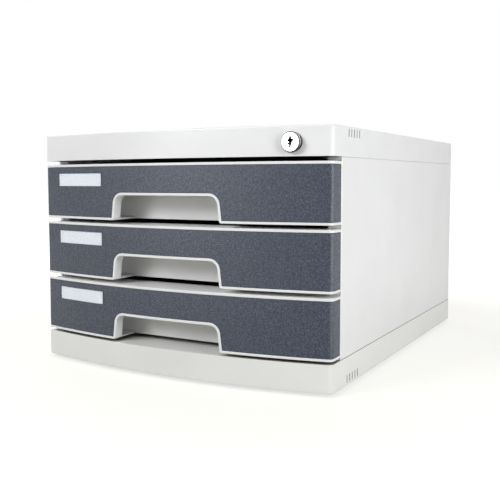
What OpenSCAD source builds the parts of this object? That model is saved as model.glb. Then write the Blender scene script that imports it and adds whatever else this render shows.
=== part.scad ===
// Desktop file cabinet with three lockable drawers, moulded in plastic.
// Millimetres. X runs to the right, Y to the back and Z up. The origin lies on the surface
// that the cabinet stands on, under the middle of its overall box.

/* [Cabinet] */
// Width over the side panels
cabinet_w = 302; // [296:1:320]
// Depth from the middle of the bowed front to the back
cabinet_d = 395; // [385:1:425]
// How far the front bows out between its corners
front_bow = 17.8; // [14:0.2:21]
// Radius of the upright corners at the front
corner_r = 5; // [5:0.5:8]
// Height of the base, without its feet
base_h = 23.8; // [21:0.2:30]
// Height of the top cover
cover_h = 24.8; // [24.4:0.2:30]
// Radius round the top edge of the cover
cover_edge_r = 1.6; // [1:0.1:2.2]
// Wall of the base and the cover
shell_wall = 2.4; // [2:0.1:3]
// Thickness of the cover's top and of the base's deck
deck_t = 2.4; // [2:0.1:2.8]
// Depth of the stiffening ribs inside the base and the cover
rib_depth = 4; // [3:0.5:8]
// Thickness of every stiffening rib
rib_t = 1.6; // [1.2:0.1:2]
// Spacing of those ribs across the cabinet
rib_pitch_x = 50; // [40:2:56]
// Spacing of those ribs from front to back
rib_pitch_y = 80; // [60:5:90]

/* [Feet] */
// Height of a rubber foot
foot_h = 3; // [2:0.5:5]
// Radius of a rubber foot
foot_r = 8; // [6:0.5:9]
// Radius of the stem that plugs a foot into its pillar
foot_stem_r = 3; // [2:0.25:4]
// Length of that stem
foot_stem = 5; // [3:0.5:7]
// Radius of the pillar that carries a foot
pillar_r = 10; // [9.5:0.5:12]
// Distance of a foot's centre from the side of the cabinet
foot_inset_x = 26; // [22:1:40]
// Distance of a foot's centre from the front corner, and from the back
foot_inset_y = 28; // [24:1:40]

/* [Side panels] */
// Wall of a side panel
side_wall = 2.5; // [2:0.1:3]
// Width of the return flange at the front edge
return_w = 12; // [11:0.5:12.5]
// Thickness of the return flange
return_t = 2.5; // [2:0.1:3]
// Radius of the outer edge in front
side_edge_r = 1; // [0.4:0.1:2]
// Height of the shadow line where a side panel meets the base and the cover
seam_h = 0.5; // [0.3:0.1:0.8]
// Depth of that line
seam_d = 0.8; // [0.4:0.1:1.2]
// Width of the seats along the top and the bottom edge
seat_w = 14; // [13:0.5:14]
// Thickness of those seats
seat_t = 2.4; // [1.6:0.1:2.4]
// Width of the rails that carry and hold down a drawer
rail_w = 7.5; // [7:0.25:8]
// Thickness of those rails
rail_t = 2; // [1.6:0.1:2.4]
// Length of the stop that ends a drawer's travel
stop_l = 4; // [3:0.5:6]

/* [Back panel] */
// Thickness of the back panel
back_t = 2.4; // [2:0.1:3]
// How deep it lies inside the back edge
back_recess = 2.6; // [2.4:0.1:4]
// How far it reaches up into the cover
back_lap = 4; // [3:0.5:6]
// Spacing of the upright ribs on its inside
back_rib_pitch = 70; // [50:5:90]
// Height of the rib on the base that it stands behind
back_sill_h = 3; // [2:0.5:6]

/* [Drawer fronts] */
// Height of a drawer front
front_h = 51; // [50:0.5:56]
// Gap between two drawer fronts
front_gap = 3.6; // [3:0.1:5]
// Gap between the base and the lowest front
base_gap = 2.4; // [2.2:0.1:4]
// Gap between the highest front and the cover
cover_gap = 3.8; // [3.4:0.1:5]
// Depth of a drawer front in its middle
front_depth = 35.8; // [34:0.1:40]
// Height of the pale rim along the top of a front
rim_top = 2.3; // [2:0.1:3]
// Height of the pale rim along the bottom
rim_bottom = 2.1; // [1.8:0.1:2.6]
// Length of the pale rim down each side, behind the face panel
rim_side = 1; // [0.8:0.1:4]
// Wall of the hollow front behind the face panel
front_wall = 2.4; // [2:0.1:3]
// Radius of the bosses that the tray is screwed to
front_boss_r = 4; // [3.4:0.1:5]
// Distance of those bosses from the side of the cabinet
front_boss_inset = 56; // [41:1:67]
// Height of the lower bosses above the bottom of the front
front_boss_low = 12; // [8:0.5:16]
// Height of the upper bosses above it
front_boss_high = 38; // [34:0.5:41]

/* [Finger recess] */
// Width of the opening, at its lower end
grip_w = 111; // [100:1:120]
// How much narrower it is at its upper end
grip_taper = 3; // [1:0.5:6]
// Height of the opening
grip_h = 22.7; // [20:0.1:25]
// Radius of its upper corners
grip_r = 8; // [6:0.5:10]
// Radius where its sides meet the bottom edge
grip_flare = 2; // [1:0.25:2.5]
// Width of the pale rim round the opening
grip_rim = 2.3; // [1.8:0.1:3]
// Depth of the lip behind the rim
grip_lip = 10; // [8:0.5:14]
// Distance of the rib beside the recess from its edge
grip_rib_x = 16; // [12:1:20]

/* [Face panel and label] */
// Thickness of the dark face panel
panel_t = 2; // [1.8:0.1:2.4]
// How far it lies below the pale rim
panel_sink = 0.25; // [0.1:0.05:0.4]
// Gap round the face panel and its parts
panel_gap = 0.15; // [0.1:0.05:0.2]
// Width of the label pocket, up to its thumb notch
label_w = 61; // [50:1:68]
// Height of the label pocket
label_h = 12.2; // [10.6:0.2:14]
// Distance of the pocket's left end from the side of the cabinet
label_inset = 20; // [18:1:27]
// Distance of the pocket from the top of the front
label_drop = 8.2; // [7:0.2:10]
// Radius of the thumb notch at its right end
notch_r = 5; // [4:0.25:5.25]
// Depth of the pocket
label_depth = 1.45; // [1.4:0.05:1.5]
// Thickness of the label card
card_t = 0.3; // [0.2:0.05:0.35]
// Thickness of the clear window over it
window_t = 0.9; // [0.7:0.05:0.95]
// How far the card ends before the thumb notch
card_short = 2; // [1:0.25:3]
// Length of card that the window leaves bare there
card_bare = 1.2; // [0.5:0.1:3]

/* [Trays] */
// How far a tray's rim lies below the top of the front
tray_drop = 5; // [4.5:0.1:6]
// Gap between a tray's underside and the bottom wall of the front
tray_gap = 0.3; // [0.2:0.05:0.5]
// Wall and floor of a tray
tray_wall = 2.2; // [1.8:0.1:2.6]
// Radius of the upright inner corners
tray_corner_r = 6; // [3:0.5:12]
// Gap between a tray and the return flange
tray_side_gap = 2.5; // [2:0.25:3]
// Gap between a tray and the back panel
tray_back_gap = 12; // [9:0.5:20]
// Thickness of the plate that closes the drawer front
plate_t = 2.3; // [2:0.1:3]
// How far a drawer opens
drawer_travel = 250; // [200:5:270]
// Thickness of the runner along each side
runner_t = 2.4; // [2:0.1:2.4]
// Running gap under a runner
slide_gap = 0.3; // [0.2:0.05:0.5]
// Running gap over a runner
lift_gap = 0.6; // [0.4:0.05:0.8]
// Length of the lug that meets the stop
lug_l = 8; // [6:0.5:12]
// Distance of that lug from the back of the tray
lug_inset = 6; // [3:0.5:12]
// Height of the catch that the lock bar holds
catch_h = 12; // [10:0.5:14]
// Length of that catch
catch_l = 5; // [4:0.5:8]
// Spacing of the low ribs on the tray floor
floor_rib_pitch = 60; // [50:5:80]
// Height of those ribs
floor_rib_h = 0.8; // [0.5:0.1:1.2]
// Distance of their ends from the front and the back of the tray
floor_rib_end = 20; // [12:1:30]
// How far the rim along the back of a tray turns out
back_rim_w = 3; // [2:0.5:4]

/* [Lock] */
// Distance of the lock from the side of the cabinet
lock_inset = 32.5; // [31:0.5:34]
// Height of its centre above the lower edge of the cover
lock_rise = 11.3; // [11:0.1:11.6]
// How far its face stands in front of the cover
lock_stand = 4; // [3.4:0.1:4.6]
// Radius of the lock's head
lock_head_r = 8.25; // [8:0.25:9]
// Depth of the lock's head
lock_head_t = 6.5; // [6:0.1:7.5]
// Radius of the barrel
barrel_r = 7; // [6.8:0.1:7.2]
// Length of the barrel behind the head
barrel_l = 23; // [18:0.5:25]
// Radius of the plug inside the barrel
plug_r = 5.45; // [5:0.05:5.6]
// Radius of the plug's face
plug_head_r = 7.1; // [6.6:0.1:7.3]
// Thickness of the plug's face
plug_head_t = 1.6; // [1.2:0.1:2]
// Running gap of the plug, on the radius
plug_gap = 0.05; // [0.03:0.01:0.08]
// Height of the keyway
keyway_h = 8.8; // [8:0.2:9.6]
// Width of the keyway's slot
keyway_t = 1.7; // [1.2:0.1:2]
// Depth of the keyway
keyway_d = 9; // [6:0.5:14]
// Thickness of the nut
nut_t = 4; // [3:0.5:5]
// Radius of the nut over its corners
nut_r = 10.2; // [9.6:0.1:10.4]
// Radius of the crank pin
pin_r = 1.5; // [1.2:0.1:1.8]
// How far the key lifts the lock bar in a quarter turn
lock_lift = 8; // [6:0.5:8]
// Thickness of the lock bar and of the cam
bar_t = 2; // [1.6:0.1:2]
// Width of the lock bar
bar_w = 12; // [10:0.5:14]
// Gap on each side of the lock bar
bar_gap = 0.5; // [0.4:0.05:0.6]
// Height of a tab on the lock bar
tab_h = 7; // [6:0.5:8]
// Distance of the lock bar behind the return flange
bar_setback = 8.3; // [6:0.1:12]
// How far the tabs rest below the catches while the lock is open
tab_drop = 2.5; // [2:0.25:3]
// How far a lifted tab stands in front of a catch
tab_clear = 0.8; // [0.5:0.1:1.2]

/* [Screws] */
// Radius of a screw's shank
screw_r = 1.25; // [1:0.05:1.4]
// Radius of a screw's head
screw_head_r = 3.1; // [2.6:0.1:3.2]
// Height of a screw's head
screw_head_t = 1.8; // [1.4:0.1:2]
// Length of a screw below its head
screw_l = 12; // [10:0.5:14]
// Radius of the bosses in the cover and the side panels
screw_boss_r = 3.8; // [3.2:0.1:4]
// Distance of the cover's front screws behind the front edge of the side panels
cover_screw_front = 51.5; // [46:0.5:56]
// Distance of the base's front screws behind that edge
base_screw_front = 63.5; // [58:0.5:70]
// Distance of the back screws from the back of the cabinet
screw_back = 47; // [42:1:56]

/* [Side grooves] */
// Number of grooves in each group
groove_n = 5; // [3:1:7]
// Distance from one groove to the next
groove_pitch = 6.2; // [4:0.1:7]
// Width of a groove
groove_w = 1.4; // [1:0.1:2]
// Height of a groove
groove_h = 7; // [5:0.5:9]
// Depth of a groove
groove_d = 1.2; // [0.5:0.1:1.4]
// Distance of the first groove behind the front edge of the side panels
groove_start = 14.5; // [10:0.5:22]
// Distance of the grooves from the upper edge of the cover and the lower edge of the base
groove_edge = 1.9; // [1.8:0.1:6]

/* [Hidden] */

ivory = "#E9E9E3";
slate = "#5A5E66";
clear_plastic = [0.95, 0.97, 1, 0.35];
card_white = "#F4F6FA";
rubber_black = "#2A2A2A";
chrome = "#D8DADC";
steel = "#9EA2A6";

// Cuts run this far past the faces that they open
past = 1;
// Facets of a round hole, pin or boss, and steps of a corner and of the bowed front
$fn = 48;
corner_steps = 6;
bow_steps = 30;
// Steps of the arcs round the finger opening
flare_steps = 4;
grip_steps = 8;
// Least radius that an inset corner keeps
corner_least = 0.4;
// The bow's middle lies in this direction from its centre
AHEAD = 270;
// Clearance of a screw or a stem in its hole, on the radius, and of a screw in its seat
hole_gap = 0.05;
seat_gap = 0.45;
// Gap where two mouldings of the cabinet meet edge to edge
join_gap = 0.15;
// A screw or a stem ends this far before the end of its hole
hole_spare = 1;
// Gap round a drawer's front plate, and between a catch or a tab and what it passes
plate_gap = 0.2;
pass_gap = 0.7;

half_w = cabinet_w / 2;
half_d = cabinet_d / 2;
side_in = half_w - side_wall;
lock_x = half_w - lock_inset;
label_left = -half_w + label_inset;
front_boss_x = half_w - front_boss_inset;

// The front is an arc of this radius, struck from this point behind the middle
bow_r = (half_w * half_w + front_bow * front_bow) / (2 * front_bow);
bow_y = bow_r - half_d;
function bow_face_y(x) = bow_y - sqrt(bow_r * bow_r - x * x);

// Heights of the stack: base, three drawers, cover
deck_z = foot_h + base_h;
function drawer_z(i) = deck_z + base_gap + i * (front_h + front_gap);
BOTTOM = 0;
MIDDLE = 1;
TOP = 2;
cover_z = drawer_z(TOP) + front_h + cover_gap;
cabinet_h = cover_z + cover_h;

// Planes across the cabinet, from the front to the back
front_back_y = -half_d + front_depth;
panel_back_y = front_back_y - rim_side;
plate_back_y = front_back_y - seat_gap;
plate_y = plate_back_y - plate_t;
side_front_y = front_back_y + seat_gap;
return_back_y = side_front_y + return_t;
bar_y = return_back_y + bar_setback;
back_face_y = half_d - back_recess - back_t;
seat_back_y = back_face_y - join_gap;
tray_back_y = back_face_y - tray_back_gap;

// A tray and its runners, from the middle outwards
tray_out = half_w - return_w - tray_side_gap;
runner_out = side_in - bar_t - 2 * bar_gap;
lug_out = side_in - bar_gap;
rail_in = side_in - rail_w;
catch_out = rail_in - pass_gap;
catch_y = bar_y + bar_t + tab_clear;
// How far a stop reaches past the lug's outer face
stop_lip = lug_out - runner_out - bar_gap;

// Heights on a drawer, above the bottom of its front
tray_lift = rim_bottom + tray_gap;
tray_top = front_h - tray_drop;
runner_z = tray_top - runner_t;
rail_z = runner_z - slide_gap - rail_t;
guide_z = tray_top + lift_gap;
catch_z = runner_z - catch_h;
tab_top = catch_z - tab_drop;
lug_front_y = tray_back_y - lug_inset - lug_l;
stop_back_y = lug_front_y - drawer_travel - seat_gap;

// The hollow front: face panel, then the wall behind it
wall_inset = panel_sink + panel_t + panel_gap;
shell_inset = wall_inset + front_wall;
// The label card lies on the floor of its pocket, with the window over it
label_gap = 0.03;
card_inset = panel_sink + label_depth - label_gap - card_t;

// Lock, from its face to the lock bar
lock_z = cover_z + lock_rise;
lock_face_y = bow_face_y(lock_x) - lock_stand;
head_back_y = lock_face_y + lock_head_t;
lock_boss_t = 6;
lock_boss_wall = 0.6;
lock_chamfer = 0.5;
nut_y = head_back_y + lock_boss_t;
barrel_back_y = head_back_y + barrel_l;
cam_screw_l = 6;
cam_screw_gap = 1.7;
cam_back_y = bar_y - screw_head_t - cam_screw_gap;
cam_y = cam_back_y - bar_t;
cam_wall = 2.2;
// Square tail of the plug, and the gap between the barrel and the shoulder behind it
tail_w = 6;
tail_gap = 0.5;
// Crank arm, the free play of its pin in the slot of the bar, and the steel round that slot
crank = lock_lift / sqrt(2);
slot_gap = 0.4;
slot_wall = 3;
pin_proud = 0.6;

// Places of the screws, the pillars for the feet, and the keepers of the lock bar
screw_x = half_w - seat_w + screw_boss_r + pass_gap;
cover_screw_y = [side_front_y + cover_screw_front, half_d - screw_back];
base_screw_y = [side_front_y + base_screw_front, half_d - screw_back];
pillar_y = [-half_d + front_bow + foot_inset_y, half_d - foot_inset_y];
keeper_h = 6;
keeper_z = 9;
bar_foot_z = 4;

// ---------- outlines ----------

function arc(centre, r, from, to, steps) =
    [for (i = [0:steps])
        let (a = from + (to - from) * i / steps) centre + r * [cos(a), sin(a)]];

// The bowed front with its rounded corners, drawn inset from the outer face, left to right
function bowed_front(inset) =
    let (r = max(corner_r - inset, corner_least),
        x = half_w - inset - r,
        y = bow_y - sqrt(pow(bow_r - inset - r, 2) - x * x),
        swing = atan2(x, bow_y - y),
        middle = arc([0, bow_y], bow_r - inset, AHEAD - swing, AHEAD + swing, bow_steps))
    concat(arc([-x, y], r, 180, AHEAD - swing, corner_steps),
        [for (i = [1:bow_steps - 1]) middle[i]],
        arc([x, y], r, AHEAD + swing, 360, corner_steps));

module outline(inset, back) {
    polygon(concat(bowed_front(inset), [[half_w - inset, back], [-half_w + inset, back]]));
}

// A plate with the cabinet's outline, from height z0 to z1
module slab(inset, back, z0, z1) {
    translate([0, 0, z0]) linear_extrude(z1 - z0) outline(inset, back);
}

// A wall that follows the outline, between two insets, open at the back
module bowed_wall(outer, inner, back, z0, z1) {
    difference() {
        slab(outer, back, z0, z1);
        slab(inner, back + past, z0 - past, z1 + past);
    }
}

// A box given by its corners
module block(from, to) {
    translate(from) cube(to - from);
}

module mirrored_x() {
    children();
    mirror([1, 0, 0]) children();
}

// A round rod along Y, from one plane to another
module rod_y(r, y0, y1) {
    translate([0, y1, 0]) rotate([90, 0, 0]) cylinder(r = r, h = y1 - y0);
}

// A flat shape in the XZ plane, drawn out along Y
module drawn_y(y0, y1) {
    translate([0, y1, 0]) rotate([90, 0, 0]) linear_extrude(y1 - y0) children();
}

module at_drawer(i) {
    translate([0, 0, drawer_z(i)]) children();
}

// ---------- base and cover ----------

// A group of upright grooves on both sides, from height z upwards
module side_grooves(z) {
    for (i = [0:groove_n - 1])
        mirrored_x()
            translate([half_w - groove_d, side_front_y + groove_start + i * groove_pitch, z + groove_w / 2]) {
                block([0, -groove_w / 2, 0], [groove_d + past, groove_w / 2, groove_h - groove_w]);
                for (end = [0, groove_h - groove_w])
                    translate([0, 0, end]) rotate([0, 90, 0]) cylinder(d = groove_w, h = groove_d + past);
            }
}

// Stiffening ribs between height z0 and z1, kept inside the walls
module stiffeners(z0, z1) {
    intersection() {
        slab(shell_wall / 2, half_d - shell_wall / 2, z0, z1);
        union() {
            for (x = rib_pitch_x * [-2, -1, 0, 1, 2])
                block([x - rib_t / 2, -half_d, z0], [x + rib_t / 2, half_d, z1]);
            for (y = rib_pitch_y * [-1.5, -0.5, 0.5, 1.5])
                block([-half_w, y - rib_t / 2, z0], [half_w, y + rib_t / 2, z1]);
        }
    }
}

module base() {
    color(ivory) difference() {
        union() {
            difference() {
                slab(0, half_d, foot_h, deck_z);
                slab(shell_wall, half_d - shell_wall, foot_h - past, deck_z - deck_t);
            }
            stiffeners(deck_z - deck_t - rib_depth, deck_z - deck_t / 2);
            for (y = pillar_y)
                mirrored_x()
                    translate([half_w - foot_inset_x, y, foot_h])
                        cylinder(r = pillar_r, h = base_h - deck_t / 2);
            // Sill in front of the back panel
            block([-half_w + seat_w + join_gap, seat_back_y - rib_t, deck_z - deck_t / 2],
                [half_w - seat_w - join_gap, seat_back_y, deck_z + back_sill_h]);
        }
        for (y = pillar_y)
            mirrored_x()
                translate([half_w - foot_inset_x, y, foot_h - past])
                    cylinder(r = foot_stem_r + hole_gap, h = foot_stem + hole_spare + past);
        for (y = base_screw_y)
            mirrored_x()
                translate([screw_x, y, foot_h]) cylinder(r = screw_r + seat_gap, h = base_h + past);
        side_grooves(foot_h + groove_edge);
    }
}

module top_cover() {
    top = cabinet_h;
    edge_slice = 0.05;
    color(ivory) difference() {
        union() {
            difference() {
                // The bowed slab, eased round its top edge in three steps of one arc
                hull() {
                    slab(0, half_d, cover_z, top - cover_edge_r);
                    for (a = [30, 60, 90])
                        let (in = cover_edge_r * (1 - cos(a)), up = cover_edge_r * (1 - sin(a)))
                        slab(in, half_d - in, top - up - edge_slice, top - up);
                }
                slab(shell_wall, half_d - shell_wall, cover_z - past, top - deck_t);
            }
            difference() {
                stiffeners(top - deck_t - rib_depth, top - deck_t / 2);
                lock_clearance();
            }
            for (y = cover_screw_y)
                mirrored_x()
                    translate([screw_x, y, cover_z]) cylinder(r = screw_boss_r, h = cover_h - deck_t / 2);
            // Boss round the lock, cut to the inside of the cover
            intersection() {
                slab(shell_wall / 2, half_d - shell_wall, cover_z, top - deck_t / 2);
                translate([lock_x, 0, lock_z]) rod_y(nut_r + lock_boss_wall, bow_face_y(lock_x), nut_y);
            }
        }
        translate([lock_x, 0, lock_z]) {
            rod_y(lock_head_r + hole_gap, lock_face_y - past, head_back_y);
            rod_y(barrel_r + hole_gap, head_back_y - past, nut_y + past);
        }
        for (y = cover_screw_y)
            mirrored_x()
                translate([screw_x, y, cover_z - past]) cylinder(r = screw_r + hole_gap, h = screw_l + past);
        side_grooves(top - groove_edge - groove_h);
    }
}

// Room that the ribs of the cover leave for the lock and its bar
module lock_clearance() {
    room = 2;
    block([lock_x - nut_r - room, -half_d, cover_z], [half_w, bar_y + bar_w + room, cabinet_h]);
}

// ---------- side and back panels ----------

// The right-hand side panel, without what belongs to the lock
module side_panel() {
    difference() {
        union() {
            // Outer wall
            block([side_in, side_front_y, deck_z], [half_w, half_d, cover_z]);
            // Return flange behind the drawer fronts
            block([half_w - return_w, side_front_y, deck_z], [half_w, return_back_y, cover_z]);
            // Seats along the bottom and the top edge
            for (z = [deck_z, cover_z - seat_t])
                block([half_w - seat_w, return_back_y - past, z], [half_w, seat_back_y, z + seat_t]);
            for (y = base_screw_y)
                translate([screw_x, y, deck_z]) cylinder(r = screw_boss_r, h = screw_l);
            // Groove for the back panel: a rib before it and a return behind it
            block([rail_in, seat_back_y - rib_t, deck_z], [half_w, seat_back_y, cover_z]);
            block([rail_in, half_d - back_recess + join_gap, deck_z], [half_w, half_d, cover_z]);
            for (i = [BOTTOM, MIDDLE, TOP])
                at_drawer(i) {
                    // Rail that carries the runner, and the guide that holds it down
                    for (z = [rail_z, guide_z])
                        block([rail_in, return_back_y - past, z], [half_w, seat_back_y, z + rail_t]);
                    block([lug_out - stop_lip, stop_back_y - stop_l, rail_z],
                        [half_w, stop_back_y, guide_z + rail_t]);
                }
        }
        // Windows in the return flange that a runner and a catch pass through
        for (i = [BOTTOM, MIDDLE, TOP])
            at_drawer(i)
                block([half_w - return_w - past, side_front_y - past, catch_z - pass_gap],
                    [runner_out + pass_gap, return_back_y, guide_z]);
        // Rounding of the outer edge in front
        translate([half_w - side_edge_r, side_front_y + side_edge_r, deck_z - past])
            difference() {
                block([0, -side_edge_r - past, 0], [side_edge_r + past, 0, cover_z - deck_z + 2 * past]);
                cylinder(r = side_edge_r, h = cover_z - deck_z + 2 * past);
            }
        // Shadow lines along the lower and the upper outer edge
        for (z = [deck_z - past, cover_z - seam_h])
            block([half_w - seam_d, side_front_y - past, z],
                [half_w + past, half_d + past, z + seam_h + past]);
        for (y = base_screw_y)
            translate([screw_x, y, deck_z - past]) cylinder(r = screw_r + hole_gap, h = screw_l + 2 * past);
        for (y = cover_screw_y)
            translate([screw_x, y, cover_z - seat_t - past])
                cylinder(r = screw_r + seat_gap, h = seat_t + 2 * past);
    }
}

module left_side_panel() {
    color(ivory) mirror([1, 0, 0]) side_panel();
}

module right_side_panel() {
    color(ivory) {
        difference() {
            side_panel();
            // Channel for the lock bar through the rails and the seat
            block([side_in - bar_t - 2 * bar_gap, bar_y - 2 * bar_gap, deck_z + seat_t],
                [side_in, bar_y + bar_w + 2 * bar_gap, cover_z + past]);
        }
        for (i = [BOTTOM, MIDDLE, TOP])
            at_drawer(i) bar_keeper();
    }
}

// A loop on the side panel that the lock bar slides through
module bar_keeper() {
    outer = side_in - bar_t - 2 * bar_gap - rib_t;
    difference() {
        block([outer, bar_y - bar_gap - rib_t, keeper_z],
            [side_in + side_wall / 2, bar_y + bar_w + bar_gap + rib_t, keeper_z + keeper_h]);
        block([side_in - bar_t - 2 * bar_gap, bar_y - bar_gap, keeper_z - past],
            [side_in, bar_y + bar_w + bar_gap, keeper_z + keeper_h + past]);
    }
}

module back_panel() {
    color(ivory) {
        block([-side_in + join_gap, back_face_y, deck_z],
            [side_in - join_gap, back_face_y + back_t, cover_z + back_lap]);
        // Upright stiffeners on the inside
        for (x = back_rib_pitch * [-1, 0, 1])
            block([x - rib_t / 2, back_face_y - rib_depth, deck_z + back_sill_h + rib_depth],
                [x + rib_t / 2, back_face_y + back_t / 2, cover_z]);
    }
}

// ---------- feet and screws ----------

module rubber_feet() {
    color(rubber_black)
        for (y = pillar_y)
            mirrored_x()
                translate([half_w - foot_inset_x, y, 0]) {
                    cylinder(r = foot_r, h = foot_h);
                    cylinder(r = foot_stem_r, h = foot_h + foot_stem);
                }
}

// A pan-head screw that points up, with its head's bearing face at the origin
module screw() {
    translate([0, 0, -screw_head_t]) cylinder(r = screw_head_r, h = screw_head_t);
    cylinder(r = screw_r, h = screw_l - hole_spare);
}

module base_screws() {
    color(steel)
        for (y = base_screw_y)
            mirrored_x() translate([screw_x, y, deck_z - deck_t]) screw();
}

module cover_screws() {
    color(steel)
        for (y = cover_screw_y)
            mirrored_x() translate([screw_x, y, cover_z - seat_t]) screw();
}

// ---------- lock ----------

module at_lock() {
    translate([lock_x, 0, lock_z]) children();
}

module lock_housing() {
    color(chrome) at_lock() difference() {
        union() {
            translate([0, head_back_y, 0]) rotate([90, 0, 0]) {
                cylinder(r = lock_head_r, h = lock_head_t - lock_chamfer);
                translate([0, 0, lock_head_t - lock_chamfer])
                    cylinder(r1 = lock_head_r, r2 = lock_head_r - lock_chamfer, h = lock_chamfer);
            }
            rod_y(barrel_r, head_back_y - past, barrel_back_y);
        }
        rod_y(plug_head_r + plug_gap, lock_face_y - past, lock_face_y + plug_head_t + plug_gap);
        rod_y(plug_r + plug_gap, lock_face_y, barrel_back_y + past);
    }
}

module lock_nut() {
    color(steel) at_lock() difference() {
        translate([0, nut_y + nut_t, 0]) rotate([90, 30, 0]) cylinder(r = nut_r, h = nut_t, $fn = 6);
        rod_y(barrel_r + hole_gap, nut_y - past, nut_y + nut_t + past);
    }
}

// Zigzag section of the keyway, in the XZ plane
module keyway_section() {
    h = keyway_h / 2;
    t = keyway_t / 2;
    polygon([[-t, h], [t, h], [1.2 * t, 0.6 * h], [3.4 * t, 0.42 * h], [3.1 * t, 0.2 * h],
        [1.9 * t, -0.05 * h], [1.3 * t, -0.45 * h], [0.4 * t, -0.9 * h], [-0.5 * t, -h],
        [-1.4 * t, -0.9 * h], [-0.7 * t, -0.6 * h], [-2.3 * t, -0.42 * h], [-2.5 * t, -0.2 * h],
        [-0.9 * t, -0.08 * h], [-3 * t, 0.2 * h], [-2.4 * t, 0.42 * h], [-1.2 * t, 0.6 * h]]);
}

module lock_plug() {
    tail_front_y = barrel_back_y + tail_gap;
    color(chrome) at_lock() difference() {
        union() {
            rod_y(plug_head_r, lock_face_y, lock_face_y + plug_head_t);
            rod_y(plug_r, lock_face_y + plug_head_t / 2, tail_front_y);
            block([-tail_w / 2, tail_front_y - past, -tail_w / 2], [tail_w / 2, cam_back_y, tail_w / 2]);
        }
        drawn_y(lock_face_y - past, lock_face_y + keyway_d) keyway_section();
        rod_y(screw_r + hole_gap, cam_back_y - cam_screw_l - hole_spare, cam_back_y + past);
    }
}

// The cam on the plug's tail, with the crank pin that lifts the bar
module lock_cam() {
    hub_r = tail_w / 2 + cam_wall;
    arm = pin_r + cam_wall;
    pin = [-lock_lift / 2, 0, -lock_lift / 2];
    color(steel) at_lock() difference() {
        union() {
            rod_y(hub_r, cam_y, cam_back_y);
            translate(pin) rod_y(arm, cam_y, cam_back_y);
            translate(pin) rod_y(pin_r, cam_y, bar_y + bar_t + pin_proud);
        }
        block([-tail_w / 2 - hole_gap, cam_y - past, -tail_w / 2 - hole_gap],
            [tail_w / 2 + hole_gap, cam_back_y + past, tail_w / 2 + hole_gap]);
    }
}

module cam_screw() {
    color(steel) at_lock() {
        rod_y(screw_head_r, cam_back_y, cam_back_y + screw_head_t);
        rod_y(screw_r, cam_back_y - cam_screw_l, cam_back_y + screw_head_t / 2);
    }
}

// The bent steel bar: a head with the crank slot, an upright strip and a tab for each drawer
module lock_bar() {
    bar_out = side_in - bar_gap;
    bar_in = bar_out - bar_t;
    slot_z = lock_z - lock_lift / 2;
    slot_half = pin_r + slot_gap;
    head_half = slot_half + slot_wall;
    slot_in = lock_x - crank - slot_half;
    slot_out = lock_x - lock_lift / 2 + slot_half;
    strip_foot = drawer_z(BOTTOM) + bar_foot_z;
    color(steel) difference() {
        union() {
            block([bar_in, bar_y, strip_foot], [bar_out, bar_y + bar_w, slot_z + head_half]);
            block([slot_in - slot_wall, bar_y, slot_z - head_half],
                [bar_out, bar_y + bar_t, slot_z + head_half]);
            for (i = [BOTTOM, MIDDLE, TOP])
                at_drawer(i)
                    block([tray_out + tray_wall, bar_y, tab_top - tab_h], [bar_out, bar_y + bar_t, tab_top]);
        }
        block([slot_in, bar_y - past, slot_z - slot_half],
            [slot_out, bar_y + bar_t + past, slot_z + slot_half]);
    }
}

// ---------- drawers, drawn with the bottom of the front at height 0 ----------

// Right half of the finger opening's outline, grown by a rim, up from height foot
function grip_side(rim, foot) =
    let (low = grip_w / 2 + rim, high = low - grip_taper / 2, r = grip_r + rim, top = grip_h + rim)
    concat([[low + grip_flare, foot - grip_flare - past], [low + grip_flare, foot]],
        arc([low + grip_flare, foot + grip_flare], grip_flare, 270, 180, flare_steps),
        arc([high - r, top - r], r, 0, 90, grip_steps));

module grip_section(rim, foot) {
    side = grip_side(rim, foot);
    polygon(concat(side, [for (i = [len(side) - 1:-1:0]) [-side[i][0], side[i][1]]]));
}

// The finger opening, from before the front to the plane y1
module grip(rim, foot, y1) {
    drawn_y(-half_d - past, y1) grip_section(rim, foot);
}

// Section of the label pocket; the thumb notch is its round right end
module label_section(gap, notch) {
    top = front_h - label_drop - gap;
    left = label_left + gap;
    right = label_left + label_w - gap - (notch ? 0 : card_short);
    low = front_h - label_drop - label_h + gap;
    translate([left, low]) square([right - left, top - low]);
    if (notch)
        translate([right, front_h - label_drop - label_h / 2]) circle(r = notch_r);
}

module front_boss_places() {
    for (z = [front_boss_low, front_boss_high])
        for (x = [-front_boss_x, front_boss_x])
            translate([x, 0, z]) children();
}

// The pale hollow front with its finger recess
module drawer_front() {
    rib_x = grip_w / 2 + grip_rib_x;
    color(ivory) difference() {
        union() {
            slab(0, front_back_y, 0, rim_bottom);
            slab(0, front_back_y, front_h - rim_top, front_h);
            bowed_wall(wall_inset, shell_inset, front_back_y, rim_bottom / 2, front_h - rim_top / 2);
            // Pale rim down each side, behind the face panel
            intersection() {
                bowed_wall(0, shell_inset, front_back_y, rim_bottom / 2, front_h - rim_top / 2);
                block([-half_w - past, panel_back_y, 0], [half_w + past, front_back_y, front_h]);
            }
            // Rim and lip round the finger opening
            intersection() {
                bowed_wall(0, grip_lip, front_back_y, 0, front_h);
                grip(grip_rim, 0, front_back_y);
            }
            intersection() {
                slab(wall_inset + front_wall / 2, plate_y, rim_bottom / 2, front_h - rim_top / 2);
                union() {
                    // Ribs beside the recess
                    mirrored_x()
                        block([rib_x - rib_t / 2, -half_d, 0],
                            [rib_x + rib_t / 2, plate_y - seat_gap, front_h]);
                    front_boss_places() rod_y(front_boss_r, -half_d, plate_y);
                }
            }
        }
        grip(0, 0, front_back_y + past);
        front_boss_places() rod_y(screw_r + hole_gap, plate_y - screw_l, plate_y + past);
    }
}

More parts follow.
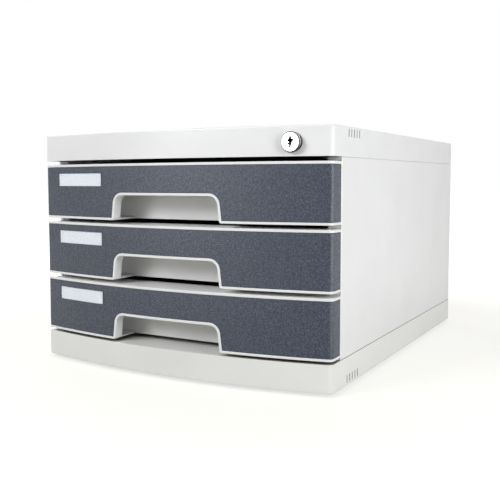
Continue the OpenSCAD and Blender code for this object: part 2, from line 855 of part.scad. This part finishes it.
// The dark face panel, which wraps round both corners
module face_panel() {
    gap = panel_gap;
    color(slate) difference() {
        bowed_wall(panel_sink, panel_sink + panel_t, panel_back_y - gap,
            rim_bottom + gap, front_h - rim_top - gap);
        grip(grip_rim + gap, rim_bottom + gap, front_back_y);
        intersection() {
            bowed_wall(0, panel_sink + label_depth, front_back_y, 0, front_h);
            drawn_y(-half_d - past, front_back_y) label_section(0, true);
        }
    }
}

module label_card() {
    color(card_white) intersection() {
        bowed_wall(card_inset, card_inset + card_t, front_back_y, 0, front_h);
        drawn_y(-half_d - past, front_back_y) label_section(panel_gap, false);
    }
}

module label_window() {
    window_inset = card_inset - label_gap - window_t;
    color(clear_plastic) intersection() {
        bowed_wall(window_inset, window_inset + window_t, front_back_y, 0, front_h);
        difference() {
            drawn_y(-half_d - past, front_back_y) label_section(panel_gap, false);
            block([label_left + label_w - card_short - card_bare, -half_d - past, 0],
                [0, front_back_y, front_h]);
        }
    }
}

// A box with rounded upright corners, given by its corners
module rounded_box(from, to, r) {
    size = to - from;
    translate([from[0], from[1], from[2]])
        linear_extrude(size[2])
            polygon(concat(
                arc([size[0] - r, size[1] - r], r, 0, 90, corner_steps),
                arc([r, size[1] - r], r, 90, 180, corner_steps),
                arc([r, r], r, 180, 270, corner_steps),
                arc([size[0] - r, r], r, 270, 360, corner_steps)));
}

// The pale tray with its front plate, runners, lugs and catch
module drawer_tray() {
    plate_half = half_w - shell_inset - seat_gap;
    tongue_half = grip_w / 2 - seat_gap;
    in = tray_wall;
    color(ivory) difference() {
        union() {
            rounded_box([-tray_out, plate_y - tray_corner_r, tray_lift], [tray_out, tray_back_y, tray_top],
                tray_corner_r + tray_wall);
            // Plate that closes the hollow front, with a tongue behind the finger recess
            block([-plate_half, plate_y, rim_bottom + plate_gap],
                [plate_half, plate_back_y, front_h - rim_top - plate_gap]);
            block([-tongue_half, plate_y, seat_gap], [tongue_half, plate_back_y, front_h / 2]);
            mirrored_x() {
                // Runner and the lug at its back end
                block([tray_out - in / 2, plate_back_y - plate_t / 2, runner_z],
                    [runner_out, tray_back_y - in, tray_top]);
                block([tray_out, lug_front_y, runner_z], [lug_out, lug_front_y + lug_l, tray_top]);
            }
            // Turned-out rim along the back
            block([-tray_out + tray_corner_r, tray_back_y - in / 2, runner_z],
                [tray_out - tray_corner_r, tray_back_y + back_rim_w, tray_top]);
            // Catch that the lock bar holds, under the right runner
            block([tray_out - in / 2, catch_y, catch_z],
                [catch_out, catch_y + catch_l, runner_z + runner_t / 2]);
        }
        // Cut off what lies before the plate, then hollow the tray
        block([-tray_out - past, plate_y - tray_corner_r - past, -past],
            [tray_out + past, plate_y, front_h + past]);
        rounded_box([-tray_out + in, plate_back_y, tray_lift + in],
            [tray_out - in, tray_back_y - in, tray_top + past], tray_corner_r);
        front_boss_places() rod_y(screw_r + seat_gap, plate_y - past, plate_back_y + past);
    }
    // Low ribs on the floor
    color(ivory)
        for (i = [-1:1])
            block([i * floor_rib_pitch - rib_t / 2, plate_back_y + floor_rib_end, tray_lift + in / 2],
                [i * floor_rib_pitch + rib_t / 2, tray_back_y - floor_rib_end, tray_lift + in + floor_rib_h]);
}

module front_screws() {
    color(steel)
        front_boss_places() {
            rod_y(screw_head_r, plate_back_y, plate_back_y + screw_head_t);
            rod_y(screw_r, plate_y - screw_l + hole_spare, plate_back_y + screw_head_t / 2);
        }
}

// ---------- nodes ----------

top_cover();
base();
left_side_panel();
right_side_panel();
back_panel();
rubber_feet();
base_screws();
cover_screws();
lock_housing();
lock_nut();
lock_plug();
lock_cam();
cam_screw();
lock_bar();
at_drawer(TOP) drawer_front();  // front_top
at_drawer(MIDDLE) drawer_front();  // front_middle
at_drawer(BOTTOM) drawer_front();  // front_bottom
at_drawer(TOP) face_panel();  // face_panel_top
at_drawer(MIDDLE) face_panel();  // face_panel_middle
at_drawer(BOTTOM) face_panel();  // face_panel_bottom
at_drawer(TOP) drawer_tray();  // tray_top
at_drawer(MIDDLE) drawer_tray();  // tray_middle
at_drawer(BOTTOM) drawer_tray();  // tray_bottom
at_drawer(TOP) label_card();  // label_card_top
at_drawer(MIDDLE) label_card();  // label_card_middle
at_drawer(BOTTOM) label_card();  // label_card_bottom
at_drawer(TOP) label_window();  // label_window_top
at_drawer(MIDDLE) label_window();  // label_window_middle
at_drawer(BOTTOM) label_window();  // label_window_bottom
at_drawer(TOP) front_screws();  // front_screws_top
at_drawer(MIDDLE) front_screws();  // front_screws_middle
at_drawer(BOTTOM) front_screws();  // front_screws_bottom
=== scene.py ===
"""Looks of a desktop file cabinet: pale moulded plastic, grained dark face panels and a chrome lock."""
import math

import bmesh
import bpy
from mathutils import Matrix, Vector


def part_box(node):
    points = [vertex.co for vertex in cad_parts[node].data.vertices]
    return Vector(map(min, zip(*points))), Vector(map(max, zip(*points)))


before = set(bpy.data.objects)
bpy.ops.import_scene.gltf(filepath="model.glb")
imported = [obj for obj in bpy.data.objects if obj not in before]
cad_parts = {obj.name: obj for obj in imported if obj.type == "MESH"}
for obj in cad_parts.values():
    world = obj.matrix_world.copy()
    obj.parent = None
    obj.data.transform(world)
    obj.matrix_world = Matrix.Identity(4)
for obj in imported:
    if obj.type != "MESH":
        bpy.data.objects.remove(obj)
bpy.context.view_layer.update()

MM = 0.001
DRAWERS = ("top", "middle", "bottom")

# The camera that fits the photograph: where it stands, and the degrees that it turns, looks down and rolls
CAMERA_AT = Vector((371.65, -724.68, 174.91)) * MM
CAMERA_TURN = 29.84
CAMERA_DOWN = 4.163
CAMERA_ROLL = -0.16
# The photograph's side, the focal length and the point that the lens looks straight at, in pixels
FRAME_PX = 500
FOCAL_PX = 742.95
MIDDLE_PX = Vector((231.68, 233.58))
SENSOR_MM = 36.0

# Refractive indices
ABS_IOR = 1.53
STYRENE_IOR = 1.59
# Most of a noise pattern's values lie between these two
NOISE_LOW = 0.3
NOISE_HIGH = 0.7
# Painted shade darkens within this reach of a groove or an inner corner. A point stays unshaded where more
# than the first share of what is over it is open, and it is wholly shaded where less than the second share
# is.
SHADE_REACH = 8 * MM
UNSHADED_ABOVE = 0.8
SHADED_BELOW = 0.2
# The sockets of a Mix node that hold its two colours and the result
FIRST_COLOUR = 6
SECOND_COLOUR = 7
MIXED_COLOUR = 2

# The painted shade on the lock's underside grows between these heights, in millimetres from its middle. It
# starts at this share of the way from the edge of the bright face to the root of the head.
UNDERSIDE_SHADE_FROM = -0.5
UNDERSIDE_SHADE_FULL = -5.5
FACE_SHARE = 0.03

# Points nearer than this are one, and edges that turn by fewer degrees than SMOOTH_BELOW are shaded smooth
SAME_POINT = 0.004 * MM
SMOOTH_BELOW = 40
# Triangles that turn by fewer degrees than FLAT_BELOW make one flat face. Edges that turn by more than
# ROUND_ABOVE are rounded, in this many steps.
FLAT_BELOW = 0.2
ROUND_ABOVE = 40
ROUND_STEPS = 2

# How far the edges of each kind of piece are rounded, in millimetres. AS_PACKED leaves them as they are.
AS_PACKED = 0.0
SHELL_EDGE = 0.3
PANEL_EDGE = 0.25
FOOT_EDGE = 0.4
SCREW_EDGE = 0.25
PRESSED_EDGE = 0.2
CAM_EDGE = 0.15
LOCK_HEAD_EDGE = 0.05
PLUG_EDGE = 0.03

# The floor's half side, and how far off its way to plain white starts and ends, in metres
FLOOR_HALF = 12.0
WHITE_FROM = 0.28
WHITE_TO = 0.6
# How bright the floor shows near the cabinet, and how strongly the sky lights it, where 1 is plain white
FLOOR_GLOW = 0.72
SKY_LIGHT = 0.18
# Colours of the lamps and the sky
COOL_WHITE = "F8FAFF"
PLAIN_WHITE = "FFFFFF"


# ---------- materials ----------

def linear(code):
    """An sRGB colour such as "C0FFEE" as linear red, green, blue and alpha."""
    channels = [int(code[i:i + 2], 16) / 255 for i in (0, 2, 4)]
    return [c / 12.92 if c <= 0.04045 else ((c + 0.055) / 1.055) ** 2.4 for c in channels] + [1.0]


def add_node(tree, kind, settings=None, **inputs):
    """Adds a node. settings are its properties; each input is a value or another node's output.
    An underscore in an input's name stands for a space, and in0 means input number 0."""
    node = tree.nodes.new(kind)
    for name, value in (settings or {}).items():
        setattr(node, name, value)
    for name, value in inputs.items():
        numbered = name.startswith("in") and name[2:].isdigit()
        socket = node.inputs[int(name[2:])] if numbered else node.inputs[name.replace("_", " ")]
        if isinstance(value, bpy.types.NodeSocket):
            tree.links.new(value, socket)
        else:
            socket.default_value = value
    return node


def new_material(name):
    """An empty material with its output, the Principled shader and Object coordinates."""
    material = bpy.data.materials.new(name)
    material.use_nodes = True
    tree = material.node_tree
    tree.nodes.clear()
    output = add_node(tree, "ShaderNodeOutputMaterial")
    shader = add_node(tree, "ShaderNodeBsdfPrincipled")
    tree.links.new(shader.outputs["BSDF"], output.inputs["Surface"])
    place = add_node(tree, "ShaderNodeTexCoord").outputs["Object"]
    return material, tree, shader, place


def set_shader(shader, **values):
    """Sets the shader's own sockets, which stay the same all over the surface."""
    for name, value in values.items():
        shader.inputs[name.replace("_", " ")].default_value = value


def speckled(tree, place, grain_mm, low, high, detail=2.0):
    """A cloudy pattern with features of grain_mm, as a number from low to high."""
    noise = add_node(tree, "ShaderNodeTexNoise", Vector=place, Scale=1 / (grain_mm * MM), Detail=detail)
    return add_node(tree, "ShaderNodeMapRange", Value=noise.outputs["Fac"], From_Min=NOISE_LOW,
                    From_Max=NOISE_HIGH, To_Min=low, To_Max=high).outputs["Result"]


def colour_between(tree, amount, first, second):
    """A colour from first to second, as amount goes from 0 to 1."""
    mix = add_node(tree, "ShaderNodeMix", {"data_type": "RGBA"}, in0=amount)
    mix.inputs[FIRST_COLOUR].default_value = linear(first)
    mix.inputs[SECOND_COLOUR].default_value = linear(second)
    return mix.outputs[MIXED_COLOUR]


def with_painted_shade(tree, own_colour, shade_colour, shader, shade_under_others=False):
    """Gives the shader its own colour, and a painted shade colour in grooves, seams and inner corners. When
    asked, the painted shade also falls where another piece of the cabinet stands that near."""
    openness = add_node(tree, "ShaderNodeAmbientOcclusion", {"samples": 6, "only_local": not shade_under_others},
                    Distance=SHADE_REACH)
    shaded = add_node(tree, "ShaderNodeMapRange", Value=openness.outputs["AO"], From_Min=UNSHADED_ABOVE,
                     From_Max=SHADED_BELOW).outputs["Result"]
    mix = add_node(tree, "ShaderNodeMix", {"data_type": "RGBA"}, in0=shaded)
    mix.inputs[SECOND_COLOUR].default_value = linear(shade_colour)
    tree.links.new(own_colour, mix.inputs[FIRST_COLOUR])
    tree.links.new(mix.outputs[MIXED_COLOUR], shader.inputs["Base Color"])


def moulded_abs(name, light, dark, shade_under_others=False):
    """Moulded ABS with a satin spark finish: soft broad reflections, and a grain that is only just seen."""
    material, tree, shader, place = new_material(name)
    set_shader(shader, IOR=ABS_IOR)
    # Flow and wear change the colour a little over some 60 mm
    cloud = speckled(tree, place, 60, 0.0, 1.0)
    # Painted shade darkens the grooves, seams and inner corners towards a dull olive grey
    with_painted_shade(tree, colour_between(tree, cloud, light, dark), "706E60", shader, shade_under_others)
    # Spark texture of about 0.35 mm
    spark = speckled(tree, place, 0.35, 0.0, 1.0)
    tree.links.new(speckled(tree, place, 0.5, 0.3, 0.38), shader.inputs["Roughness"])
    bump = add_node(tree, "ShaderNodeBump", Strength=0.12, Distance=0.02 * MM, Height=spark)
    tree.links.new(bump.outputs["Normal"], shader.inputs["Normal"])
    return material


def grained_abs():
    """Slate ABS moulded with a leather grain: pebbles of about 1.1 mm whose tops shine a little more
    than the valleys between them, so that the panel looks speckled."""
    material, tree, shader, place = new_material("slate_abs_leather_grain")
    set_shader(shader, IOR=ABS_IOR)
    # The pebbles are drawn a little coarser than real ones, which a picture of this size can't show
    pebble = add_node(tree, "ShaderNodeTexVoronoi", {"feature": "SMOOTH_F1"}, Vector=place,
                      Scale=1 / (1.1 * MM), Smoothness=0.4)
    height = add_node(tree, "ShaderNodeMapRange", Value=pebble.outputs["Distance"], From_Min=0.1,
                      From_Max=0.7, To_Min=1.0, To_Max=0.0).outputs["Result"]
    patch = speckled(tree, place, 1.4, 0.0, 1.0)
    tone = add_node(tree, "ShaderNodeMath", {"operation": "MULTIPLY"}, in0=height, in1=patch).outputs[0]
    # Painted shade darkens the panel's pockets and inner corners to near black
    with_painted_shade(tree, colour_between(tree, tone, "1E2431", "5C677C"), "101116", shader)
    shine = add_node(tree, "ShaderNodeMapRange", Value=height, To_Min=0.46, To_Max=0.34).outputs["Result"]
    tree.links.new(shine, shader.inputs["Roughness"])
    bump = add_node(tree, "ShaderNodeBump", Strength=0.5, Distance=0.08 * MM, Height=height)
    tree.links.new(bump.outputs["Normal"], shader.inputs["Normal"])
    return material


def chrome_plate(name, middle, bright_r, tones, underside):
    """Polished chrome plate: a hard mirror with a slight haze from handling. The face of the lock is bright
    as far as bright_r from its middle. From there over the edge and back along the side, the plate has the
    tones, which paint dark reflection and shade into it: pairs of a distance in millimetres and a colour.
    Its underside is painted darker still, as painted shade."""
    material, tree, shader, place = new_material(name)
    set_shader(shader, Metallic=1.0)
    tree.links.new(speckled(tree, place, 2.0, 0.06, 0.14), shader.inputs["Roughness"])
    deepest = tones[-1][0]
    local = add_node(tree, "ShaderNodeVectorMath", {"operation": "SUBTRACT"}, in0=place,
                     in1=middle).outputs["Vector"]
    parts = add_node(tree, "ShaderNodeSeparateXYZ", Vector=local).outputs
    across = add_node(tree, "ShaderNodeVectorMath", {"operation": "MULTIPLY"}, in0=local,
                      in1=(1.0, 0.0, 1.0)).outputs["Vector"]
    radius = add_node(tree, "ShaderNodeVectorMath", {"operation": "LENGTH"}, in0=across).outputs["Value"]
    rim = add_node(tree, "ShaderNodeMapRange", Value=radius, From_Min=bright_r * MM,
                   From_Max=(bright_r + deepest) * MM).outputs["Result"]
    back = add_node(tree, "ShaderNodeMapRange", Value=parts["Y"], From_Max=deepest * MM).outputs["Result"]
    along = add_node(tree, "ShaderNodeMath", {"operation": "ADD"}, in0=rim, in1=back).outputs[0]
    ramp = add_node(tree, "ShaderNodeValToRGB", Fac=along)
    stops = ramp.color_ramp.elements
    stops.remove(stops[1])
    for number, (at, colour) in enumerate(tones):
        stop = stops.new(at / deepest) if number else stops[0]
        stop.position = at / deepest
        stop.color = linear(colour)
    # Painted shade darkens the plate towards its underside, away from the bright face
    low = add_node(tree, "ShaderNodeMapRange", Value=parts["Z"], From_Min=UNDERSIDE_SHADE_FROM * MM,
                   From_Max=UNDERSIDE_SHADE_FULL * MM).outputs["Result"]
    off_face = add_node(tree, "ShaderNodeMapRange", Value=along, From_Max=FACE_SHARE).outputs["Result"]
    dark = add_node(tree, "ShaderNodeMath", {"operation": "MULTIPLY"}, in0=low, in1=off_face).outputs[0]
    shade = add_node(tree, "ShaderNodeMix", {"data_type": "RGBA"}, in0=dark)
    tree.links.new(ramp.outputs["Color"], shade.inputs[FIRST_COLOUR])
    shade.inputs[SECOND_COLOUR].default_value = linear(underside)
    tree.links.new(shade.outputs[MIXED_COLOUR], shader.inputs["Base Color"])
    return material


def zinc_steel():
    """Zinc-plated steel: a dull metal with a fine crystalline mottling."""
    material, tree, shader, place = new_material("steel_zinc_plated")
    set_shader(shader, Metallic=1.0)
    mottle = speckled(tree, place, 0.8, 0.0, 1.0)
    tree.links.new(colour_between(tree, mottle, "A9ADB2", "8F9398"), shader.inputs["Base Color"])
    tree.links.new(speckled(tree, place, 0.6, 0.3, 0.42), shader.inputs["Roughness"])
    return material


def clear_styrene():
    """Clear polystyrene sheet: a thin glossy window that shows the card behind it."""
    material, tree, shader, place = new_material("polystyrene_clear")
    set_shader(shader, IOR=STYRENE_IOR, Base_Color=linear("F8FBFF"), Alpha=0.12)
    tree.links.new(speckled(tree, place, 8.0, 0.05, 0.12), shader.inputs["Roughness"])
    return material


def plain_card():
    """Uncoated white card, faintly blue, with a short paper fibre."""
    material, tree, shader, place = new_material("card_uncoated_white")
    set_shader(shader, Roughness=0.8)
    fibre = speckled(tree, place, 0.7, 0.0, 1.0, detail=4.0)
    tree.links.new(colour_between(tree, fibre, "F9FBFF", "F1F5FD"), shader.inputs["Base Color"])
    return material


def moulded_rubber():
    """Moulded black rubber: matt, with a faint bloom."""
    material, tree, shader, place = new_material("rubber_moulded_black")
    bloom = speckled(tree, place, 3.0, 0.0, 1.0)
    tree.links.new(colour_between(tree, bloom, "26262A", "333338"), shader.inputs["Base Color"])
    tree.links.new(speckled(tree, place, 0.8, 0.6, 0.75), shader.inputs["Roughness"])
    return material


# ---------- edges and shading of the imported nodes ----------

def shading_group(limit_deg):
    """A node group that merges a node's loose triangles, and smooths all but the edges over the limit."""
    tree = bpy.data.node_groups.new("smooth_below_%d_degrees" % limit_deg, "GeometryNodeTree")
    tree.is_modifier = True
    tree.interface.new_socket("Geometry", in_out="INPUT", socket_type="NodeSocketGeometry")
    tree.interface.new_socket("Geometry", in_out="OUTPUT", socket_type="NodeSocketGeometry")
    start = add_node(tree, "NodeGroupInput")
    merged = add_node(tree, "GeometryNodeMergeByDistance", Geometry=start.outputs[0], Distance=SAME_POINT)
    plain = add_node(tree, "GeometryNodeRemoveAttribute", Geometry=merged.outputs[0], Name="custom_normal")
    smooth = add_node(tree, "GeometryNodeSetShadeSmooth", {"domain": "FACE"}, Geometry=plain.outputs[0],
                      Shade_Smooth=True)
    angle = add_node(tree, "GeometryNodeInputMeshEdgeAngle")
    below = add_node(tree, "FunctionNodeCompare", {"operation": "LESS_EQUAL"},
                     A=angle.outputs["Unsigned Angle"], B=math.radians(limit_deg))
    edged = add_node(tree, "GeometryNodeSetShadeSmooth", {"domain": "EDGE"}, Geometry=smooth.outputs[0],
                     Shade_Smooth=below.outputs[0])
    end = add_node(tree, "NodeGroupOutput")
    tree.links.new(edged.outputs[0], end.inputs[0])
    return tree


def finish_node(name, material, edge_mm, notched=False):
    """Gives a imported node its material, smooth curves and edges rounded to edge_mm."""
    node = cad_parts[name]
    node.data.materials.clear()
    node.data.materials.append(material)
    merge = node.modifiers.new("smooth_curves", "NODES")
    merge.node_group = SMOOTHING
    if edge_mm:
        flat = node.modifiers.new("join_flats", "DECIMATE")
        flat.decimate_type = "DISSOLVE"
        flat.angle_limit = math.radians(FLAT_BELOW)
        if notched:
            # The bevel turns a face with a deep notch inside out, so it starts from triangles
            node.modifiers.new("split_notches", "TRIANGULATE")
        bevel = node.modifiers.new("rounded_edges", "BEVEL")
        bevel.width = edge_mm * MM
        bevel.segments = ROUND_STEPS
        bevel.limit_method = "ANGLE"
        bevel.angle_limit = math.radians(ROUND_ABOVE)
        bevel.use_clamp_overlap = False
        bevel.miter_outer = "MITER_ARC"
        bevel.harden_normals = False
    weigh = node.modifiers.new("even_flats", "WEIGHTED_NORMAL")
    weigh.keep_sharp = True


SMOOTHING = shading_group(SMOOTH_BELOW)
IVORY = moulded_abs("ivory_abs_satin", "EDEDEB", "E8E8E6")
# The base also gets painted shadow on its deck under the drawers, and along its foot at the floor
BASE_IVORY = moulded_abs("ivory_abs_satin_base", "EDEDE8", "E8E8E3", shade_under_others=True)
SLATE = grained_abs()
head_low, head_high = [Vector(corner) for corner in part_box("lock_housing")]
LOCK_HEAD_R = (head_high.z - head_low.z) / 2 / MM
LOCK_FACE_MIDDLE = ((head_low.x + head_high.x) / 2, head_low.y, (head_low.z + head_high.z) / 2)
LOCK_RIM_MM = 0.8
# Painted dark reflection on the rounded rim of the face, painted shadow at the root of the head where it
# meets the cover, and painted shade on its underside
HEAD_CHROME = chrome_plate("chrome_plate_polished_head", LOCK_FACE_MIDDLE, LOCK_HEAD_R - LOCK_RIM_MM, (
    (0.0, "F1F2F4"), (0.1, "1A1A1E"), (1.3, "242428"), (1.6, "F0F0F4"), (2.9, "E0E0E6"),
    (3.5, "6A6A70"), (4.8, "2A2A2E")), "1C1C20")
# The keyway is cut through the plate into the unplated core; its walls and the plug's underside are painted
# nearly black as painted shade
PLUG_CHROME = chrome_plate("chrome_plate_polished_plug", LOCK_FACE_MIDDLE, LOCK_HEAD_R, (
    (0.0, "F1F2F4"), (0.1, "F1F2F4"), (0.3, "060607")), "060607")
STEEL = zinc_steel()
CLEAR = clear_styrene()
CARD = plain_card()
RUBBER = moulded_rubber()

for name, material, edge in (
        ("top_cover", IVORY, AS_PACKED), ("base", BASE_IVORY, AS_PACKED),
        ("back_panel", IVORY, SHELL_EDGE), ("left_side_panel", IVORY, SHELL_EDGE),
        ("right_side_panel", IVORY, SHELL_EDGE), ("rubber_feet", RUBBER, FOOT_EDGE),
        ("base_screws", STEEL, SCREW_EDGE), ("cover_screws", STEEL, SCREW_EDGE),
        ("lock_housing", HEAD_CHROME, LOCK_HEAD_EDGE), ("lock_nut", STEEL, PRESSED_EDGE),
        ("lock_plug", PLUG_CHROME, PLUG_EDGE), ("lock_cam", STEEL, CAM_EDGE),
        ("cam_screw", STEEL, PRESSED_EDGE), ("lock_bar", STEEL, PRESSED_EDGE)):
    finish_node(name, material, edge)
for level in DRAWERS:
    for name, material, edge in (
            ("front", IVORY, SHELL_EDGE), ("face_panel", SLATE, PANEL_EDGE), ("tray", IVORY, SHELL_EDGE),
            ("label_card", CARD, AS_PACKED), ("label_window", CLEAR, AS_PACKED),
            ("front_screws", STEEL, SCREW_EDGE)):
        finish_node(name + "_" + level, material, edge, notched=name == "front")


# ---------- studio ----------

def shown_white(tree, path):
    """1 for the rays that should meet a white studio: the camera's, mirrored ones and those through glass."""
    seen = add_node(tree, "ShaderNodeMath", {"operation": "MAXIMUM"}, in0=path["Is Camera Ray"],
                    in1=path["Is Glossy Ray"]).outputs[0]
    return add_node(tree, "ShaderNodeMath", {"operation": "MAXIMUM"}, in0=seen,
                    in1=path["Is Transmission Ray"]).outputs[0]


def studio_floor():
    """A pale floor that keeps the shadow and runs out to white."""
    material = bpy.data.materials.new("studio_floor_white")
    material.use_nodes = True
    tree = material.node_tree
    tree.nodes.clear()
    place = add_node(tree, "ShaderNodeTexCoord").outputs["Object"]
    away = add_node(tree, "ShaderNodeVectorMath", {"operation": "LENGTH"}, in0=place).outputs["Value"]
    fade = add_node(tree, "ShaderNodeMapRange", {"interpolation_type": "SMOOTHSTEP"}, Value=away,
                    From_Min=WHITE_FROM, From_Max=WHITE_TO, To_Min=FLOOR_GLOW,
                    To_Max=1.0).outputs["Result"]
    path = add_node(tree, "ShaderNodeLightPath").outputs
    seen = shown_white(tree, path)
    glow = add_node(tree, "ShaderNodeMath", {"operation": "MULTIPLY"}, in0=fade, in1=seen).outputs[0]
    matt = add_node(tree, "ShaderNodeBsdfDiffuse", Color=linear("9C9A8E")).outputs[0]
    light = add_node(tree, "ShaderNodeEmission", Strength=glow).outputs[0]
    both = add_node(tree, "ShaderNodeAddShader", in0=matt, in1=light).outputs[0]
    output = add_node(tree, "ShaderNodeOutputMaterial")
    tree.links.new(both, output.inputs["Surface"])
    sheet = bmesh.new()
    bmesh.ops.create_grid(sheet, x_segments=1, y_segments=1, size=FLOOR_HALF)
    mesh = bpy.data.meshes.new("studio_floor")
    sheet.to_mesh(mesh)
    sheet.free()
    floor = bpy.data.objects.new("studio_floor", mesh)
    mesh.materials.append(material)
    bpy.context.collection.objects.link(floor)


def white_world(strength):
    """An even sky that lights the cabinet, and shows as plain white behind it."""
    world = bpy.data.worlds.new("studio_white")
    world.use_nodes = True
    tree = world.node_tree
    tree.nodes.clear()
    path = add_node(tree, "ShaderNodeLightPath").outputs
    seen = shown_white(tree, path)
    level = add_node(tree, "ShaderNodeMapRange", Value=seen, To_Min=strength, To_Max=1.0).outputs["Result"]
    sky = add_node(tree, "ShaderNodeBackground", Color=linear(PLAIN_WHITE), Strength=level)
    output = add_node(tree, "ShaderNodeOutputWorld")
    tree.links.new(sky.outputs[0], output.inputs["Surface"])
    bpy.context.scene.world = world


def softbox(name, at, towards, width, height, watts, colour=PLAIN_WHITE, glossy=True, matt=True):
    """A rectangular lamp at a place, turned towards another. One that isn't glossy casts no reflection of
    itself, and one that isn't matt shows in reflections alone."""
    lamp = bpy.data.lights.new(name, "AREA")
    lamp.color = linear(colour)[:3]
    lamp.shape = "RECTANGLE"
    lamp.size = width
    lamp.size_y = height
    lamp.energy = watts
    box = bpy.data.objects.new(name, lamp)
    box.location = at
    box.visible_diffuse = matt
    box.visible_glossy = glossy
    box.rotation_euler = (Vector(towards) - Vector(at)).to_track_quat("-Z", "Y").to_euler()
    bpy.context.collection.objects.link(box)


def photo_camera():
    """The camera, with the shift that the photograph's cropping gives."""
    lens = bpy.data.cameras.new("photo_camera")
    lens.sensor_width = SENSOR_MM
    lens.lens = FOCAL_PX / FRAME_PX * SENSOR_MM
    lens.shift_x = (FRAME_PX / 2 - MIDDLE_PX.x) / FRAME_PX
    lens.shift_y = (MIDDLE_PX.y - FRAME_PX / 2) / FRAME_PX
    camera = bpy.data.objects.new("photo_camera", lens)
    turn = (Matrix.Rotation(math.radians(CAMERA_TURN), 4, "Z")
            @ Matrix.Rotation(math.radians(90 - CAMERA_DOWN), 4, "X")
            @ Matrix.Rotation(math.radians(CAMERA_ROLL), 4, "Z"))
    camera.matrix_world = Matrix.Translation(CAMERA_AT) @ turn
    bpy.context.collection.objects.link(camera)
    bpy.context.scene.camera = camera


studio_floor()
white_world(SKY_LIGHT)
softbox("key_softbox", at=(-0.75, -1.58, 1.0), towards=(0.05, -0.12, 0.1),
        width=0.8, height=0.8, watts=24.5, colour=COOL_WHITE)
# Its reflection would whiten the cover's top, seen from behind
softbox("side_softbox", at=(1.05, -0.38, 0.35), towards=(0.15, -0.05, 0.1),
        width=0.4, height=0.7, watts=8, colour=COOL_WHITE, glossy=False)
softbox("rear_softbox", at=(-1.2, 0.9, 0.7), towards=(0, 0.05, 0.1), width=0.8, height=0.8, watts=11)
softbox("overhead_softbox", at=(0, 0.1, 1.6), towards=(0, 0.1, 0.2), width=1.0, height=1.0, watts=3)
# It draws the highlight down the right corners of the drawers, and stays below the cover's top
softbox("edge_softbox", at=(1.35, -0.25, 0.115), towards=(0.15, -0.25, 0.115),
        width=1.5, height=0.2, watts=9.6, matt=False)
# It gives the bowed fronts their sheen
softbox("front_softbox", at=(-0.6, -1.4, 0.25), towards=(0.0, -0.19, 0.14),
        width=0.6, height=0.5, watts=2.2, matt=False)
photo_camera()
bpy.context.scene.view_settings.view_transform = "Standard"
